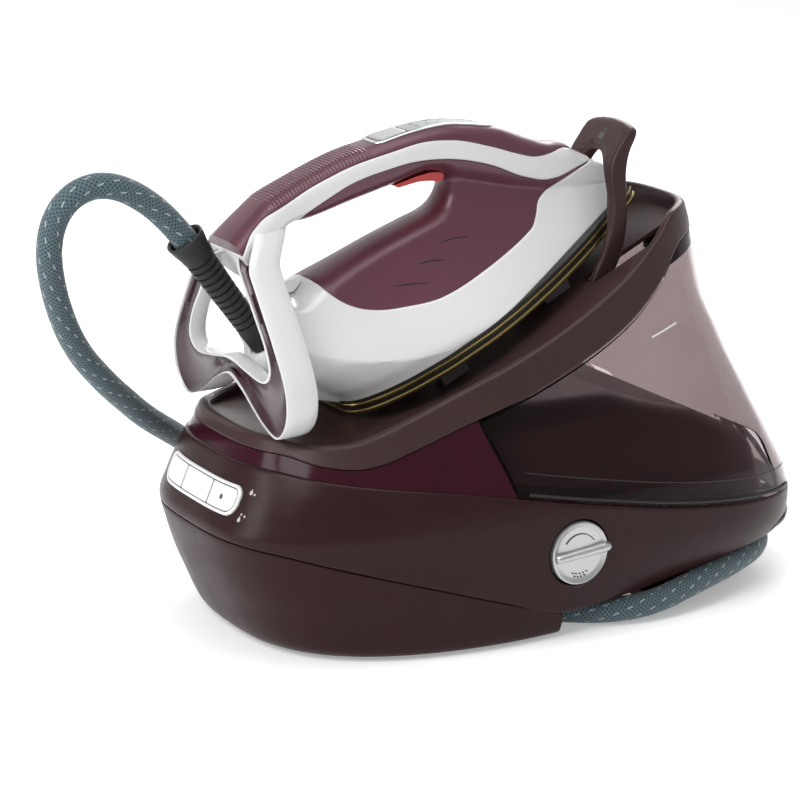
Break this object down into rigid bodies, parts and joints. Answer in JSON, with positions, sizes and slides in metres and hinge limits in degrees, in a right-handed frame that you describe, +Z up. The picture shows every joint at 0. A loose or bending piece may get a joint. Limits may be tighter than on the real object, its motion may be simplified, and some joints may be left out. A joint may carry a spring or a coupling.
{
  "type": "steam generator iron",
  "caption": "Steam generator iron: pressure base with removable clear water tank, sloping rest with nose lock, and a corded steam iron resting on it.",
  "frame": {"origin": "centre of the base's box, on the surface it stands on", "axes": "+X from the control panel towards the water tank, +Z up, Y = 0 is the plane of symmetry of base and iron"},
  "size_m": [0.5311, 0.4094, 0.3136],
  "materials": {
    "shell_brown": "satin dark brown",
    "taupe": "fine satin taupe",
    "burgundy": "glossy burgundy",
    "iron_burgundy": "soft-touch burgundy",
    "white": "glossy white",
    "smoke": "smoky clear plastic",
    "black": "black",
    "sole_gold": "gold-toned enamel",
    "alu": "cast",
    "steel": "brushed",
    "silver": "silver lacquer",
    "rubber_black": "ribbed rubber",
    "silicone": "silicone",
    "hose_fabric": "woven slate blue sleeve",
    "pcb": "circuit board",
    "lens_clear": "clear lens",
    "red": "red",
    "brass": "machined"
  },
  "bodies": {
    "root": {"lower_shell": "shell_brown", "tank_ledge": "shell_brown", "hose_channel": "shell_brown", "upper_casing": "shell_brown", "trim_band": "burgundy", "tank_bulkhead": "shell_brown", "works_cover": "shell_brown", "iron_rest": "taupe", "rest_pads": "silicone", "lock_brackets": "black", "lock_pin": "steel", "panel_bezel": "white", "panel_board": "pcb", "indicator_lenses": "lens_clear", "boiler": "steel", "boiler_element": "steel", "boiler_thermostat": "brass", "boiler_mounts": "black", "collector_sleeve": "black", "pump": "black", "solenoid_valve": "brass", "main_board": "pcb", "feed_tube": "silicone", "steam_tube": "silicone", "rubber_feet": "rubber_black", "casing_screws": "steel", "hose_outlet": "black", "mains_gland": "black", "hose_stowed": "hose_fabric"},
    "iron": {"soleplate": "sole_gold", "sole_trim": "black", "heating_block": "alu", "block_cover": "alu", "lower_body": "white", "saddle": "iron_burgundy", "handle_cover": "iron_burgundy", "handle_shell": "white", "handle_liner": "iron_burgundy", "display_bezel": "silver", "display_lens": "lens_clear", "heel_hoop": "white", "heel_insert": "iron_burgundy", "ball_housing": "white", "hose_loop": "hose_fabric"},
    "tank": {"water_tank": "smoke", "filler_funnel": "black", "outlet_valve": "black"},
    "flap": {"filler_flap": "black"},
    "lock": {"lock_hoop": "taupe"},
    "collector": {"collector_cap": "silver", "collector_rod": "white", "collector_seal": "silicone"},
    "trigger": {"steam_trigger": "red"},
    "mode": {"mode_button": "silver"},
    "boot": {"cord_boot": "rubber_black"},
    "key_left": {"button_left": "white"},
    "key_middle": {"button_middle": "white"},
    "key_right": {"button_right": "white"}
  },
  "joints": [
    {"name": "iron_lift", "type": "slide", "parent": "root", "child": "iron", "axis": [-0.9455, 0, 0.3256], "range_m": [0, 0.25]},
    {"name": "lock_swing", "type": "hinge", "parent": "root", "child": "lock", "pos_m": [0.063, 0, 0.202], "axis": [0, 1, 0], "range_deg": [0, 23], "stiffness_Nm_per_rad": 0.15, "springref_deg": -17.19},
    {"name": "tank_pull", "type": "slide", "parent": "root", "child": "tank", "axis": [1, 0, 0], "range_m": [0, 0.16]},
    {"name": "filler_flap_turn", "type": "hinge", "parent": "tank", "child": "flap", "pos_m": [0.133, 0, 0.2299], "axis": [0, 1, 0], "range_deg": [0, 60], "stiffness_Nm_per_rad": 0.002, "springref_deg": -11.46},
    {"name": "collector_turn", "type": "hinge", "parent": "root", "child": "collector", "pos_m": [-0.005, -0.125, 0.057], "axis": [0, 1, 0], "range_deg": [0, 270]},
    {"name": "trigger_squeeze", "type": "hinge", "parent": "iron", "child": "trigger", "pos_m": [-0.07557, 0, 0.27384], "axis": [0, -1, 0], "range_deg": [0, 5], "stiffness_Nm_per_rad": 0.2, "springref_deg": -2.86},
    {"name": "mode_press", "type": "slide", "parent": "iron", "child": "mode", "axis": [0.4384, 0, -0.8988], "range_m": [0, 0.001], "stiffness_N_per_m": 500, "springref_m": -0.0003},
    {"name": "boot_turn", "type": "hinge", "parent": "iron", "child": "boot", "pos_m": [-0.163, 0, 0.184], "axis": [-0.5823, 0, 0.813], "range_deg": [-60, 60]},
    {"name": "key_left_press", "type": "slide", "parent": "root", "child": "key_left", "axis": [0.8988, 0, -0.4384], "range_m": [0, 0.0012], "stiffness_N_per_m": 500, "springref_m": -0.0003},
    {"name": "key_middle_press", "type": "slide", "parent": "root", "child": "key_middle", "axis": [0.8988, 0, -0.4384], "range_m": [0, 0.0012], "stiffness_N_per_m": 500, "springref_m": -0.0003},
    {"name": "key_right_press", "type": "slide", "parent": "root", "child": "key_right", "axis": [0.8988, 0, -0.4384], "range_m": [0, 0.0012], "stiffness_N_per_m": 500, "springref_m": -0.0003}
  ]
}
